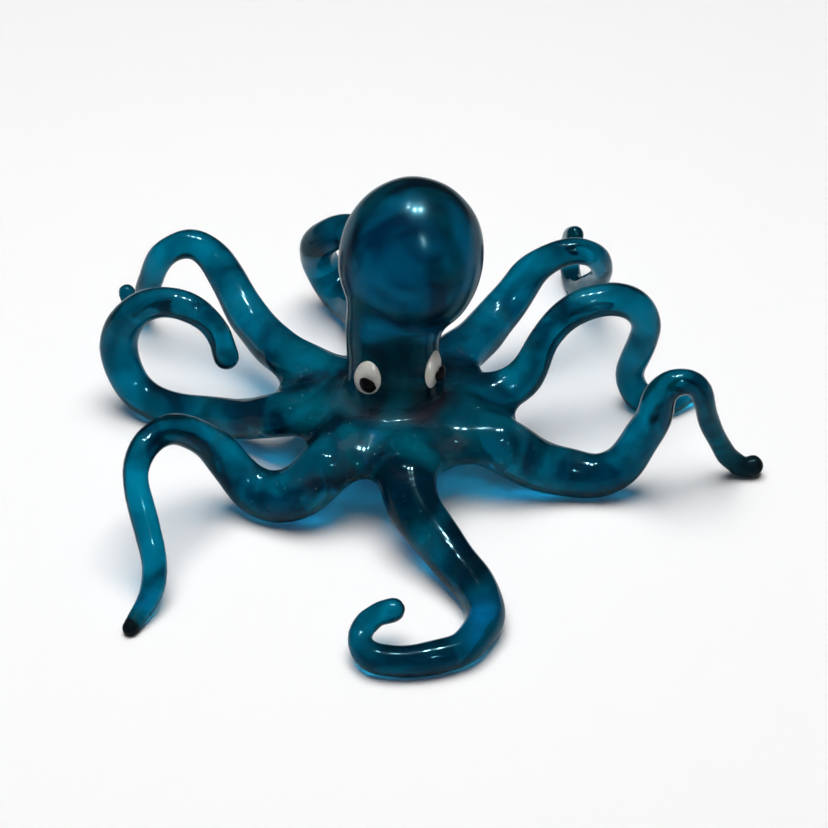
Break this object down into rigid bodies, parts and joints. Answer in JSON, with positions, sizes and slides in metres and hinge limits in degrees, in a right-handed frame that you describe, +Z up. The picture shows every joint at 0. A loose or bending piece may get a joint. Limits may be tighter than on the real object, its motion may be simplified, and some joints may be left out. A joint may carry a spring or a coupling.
{
  "type": "glass octopus figurine",
  "caption": "Hot-worked glass octopus with a tall head, a round hub and long arms that curl and arch down to the table.",
  "frame": {"origin": "on the table, under the middle of the figure's length and width", "axes": "+Z up, the face looks towards -Y, and +X is on the right of someone who looks at the face"},
  "size_m": [0.1248, 0.1276, 0.0569],
  "materials": {
    "teal_glass": "fire-polished, translucent",
    "white_enamel": "glossy opaque enamel glass",
    "black_enamel": "glossy opaque enamel glass"
  },
  "bodies": {
    "root": {"mantle": "teal_glass", "body_hub": "teal_glass", "arm_front": "teal_glass", "arm_front_left": "teal_glass", "arm_left": "teal_glass", "arm_back_left": "teal_glass", "arm_back": "teal_glass", "arm_back_right": "teal_glass", "arm_right": "teal_glass", "arm_front_right": "teal_glass", "eye_white_left": "white_enamel", "eye_white_right": "white_enamel", "pupil_left": "black_enamel", "pupil_right": "black_enamel"}
  },
  "joints": []
}
